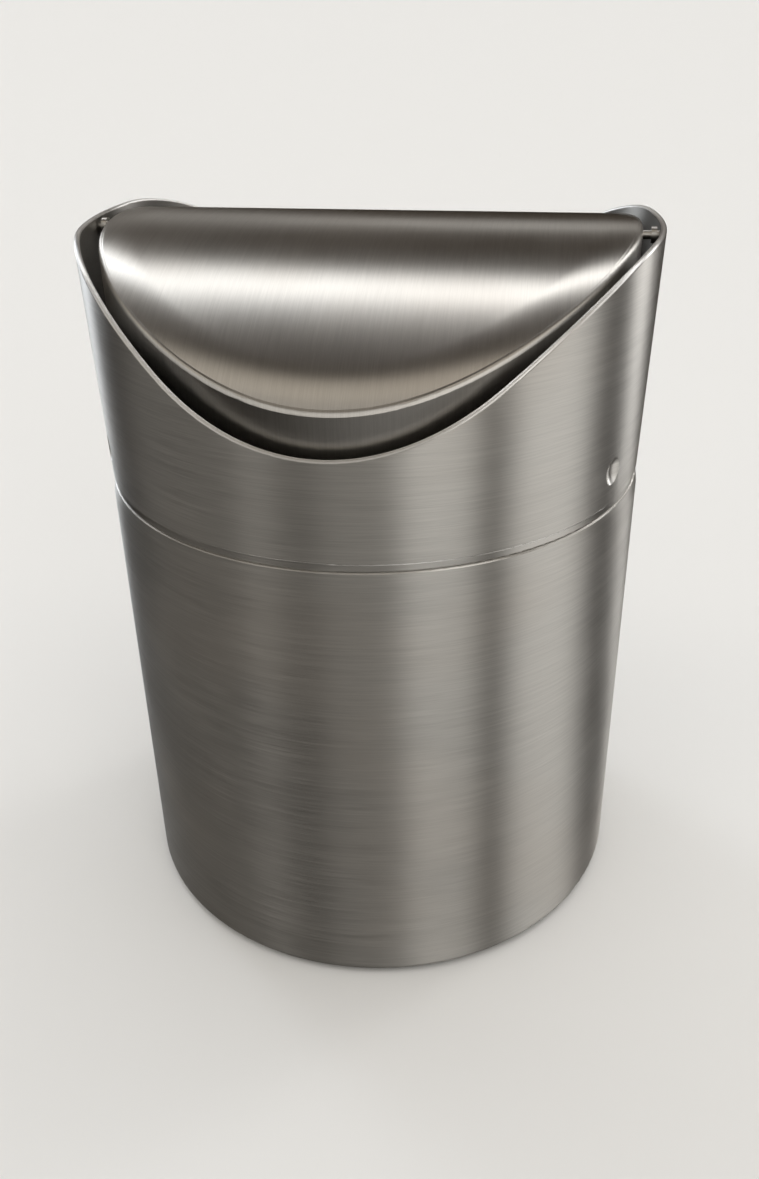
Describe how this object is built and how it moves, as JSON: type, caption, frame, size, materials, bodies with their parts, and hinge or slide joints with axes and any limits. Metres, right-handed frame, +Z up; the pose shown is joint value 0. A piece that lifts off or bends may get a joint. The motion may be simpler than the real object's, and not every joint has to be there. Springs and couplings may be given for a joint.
{
  "type": "swing-lid wastebasket",
  "caption": "Small round table-top waste basket: brushed steel can, flared collar with a saddle-shaped rim, and a vaulted lid that swings on pins.",
  "frame": {"origin": "centre of the round footprint, on the surface that the basket stands on", "axes": "+Z up; +X along the lid's axle, to the basket's right; -Y is the front, the side towards the user"},
  "size_m": [0.1218, 0.1204, 0.1599],
  "materials": {
    "can": "brushed round the can",
    "base": "plain rolled sheet",
    "base_ring": "matt black",
    "collar": "brushed round the collar, polished rim edge",
    "neck": "bright rolled sheet",
    "pin": "bright turned steel",
    "spacer": "bright turned steel",
    "clip": "spring steel",
    "lid": "brushed from front to back, polished edge"
  },
  "bodies": {
    "can": {"can_shell": "can", "base_disc": "base", "base_ring": "base_ring"},
    "collar": {"collar": "collar", "neck_ring": "neck", "pivot_pin_left": "pin", "pivot_pin_right": "pin", "spacer_left": "spacer", "spacer_right": "spacer", "push_nut_left": "clip", "push_nut_right": "clip"},
    "lid": {"swing_lid": "lid"}
  },
  "joints": [
    {"name": "collar_lift", "type": "slide", "parent": "can", "child": "collar", "axis": [0, 0, 1], "range_m": [0, 0.04]},
    {"name": "lid_swing", "type": "hinge", "parent": "collar", "child": "lid", "pos_m": [0, 0, 0.1574], "axis": [1, 0, 0], "range_deg": [-90, 90]}
  ]
}
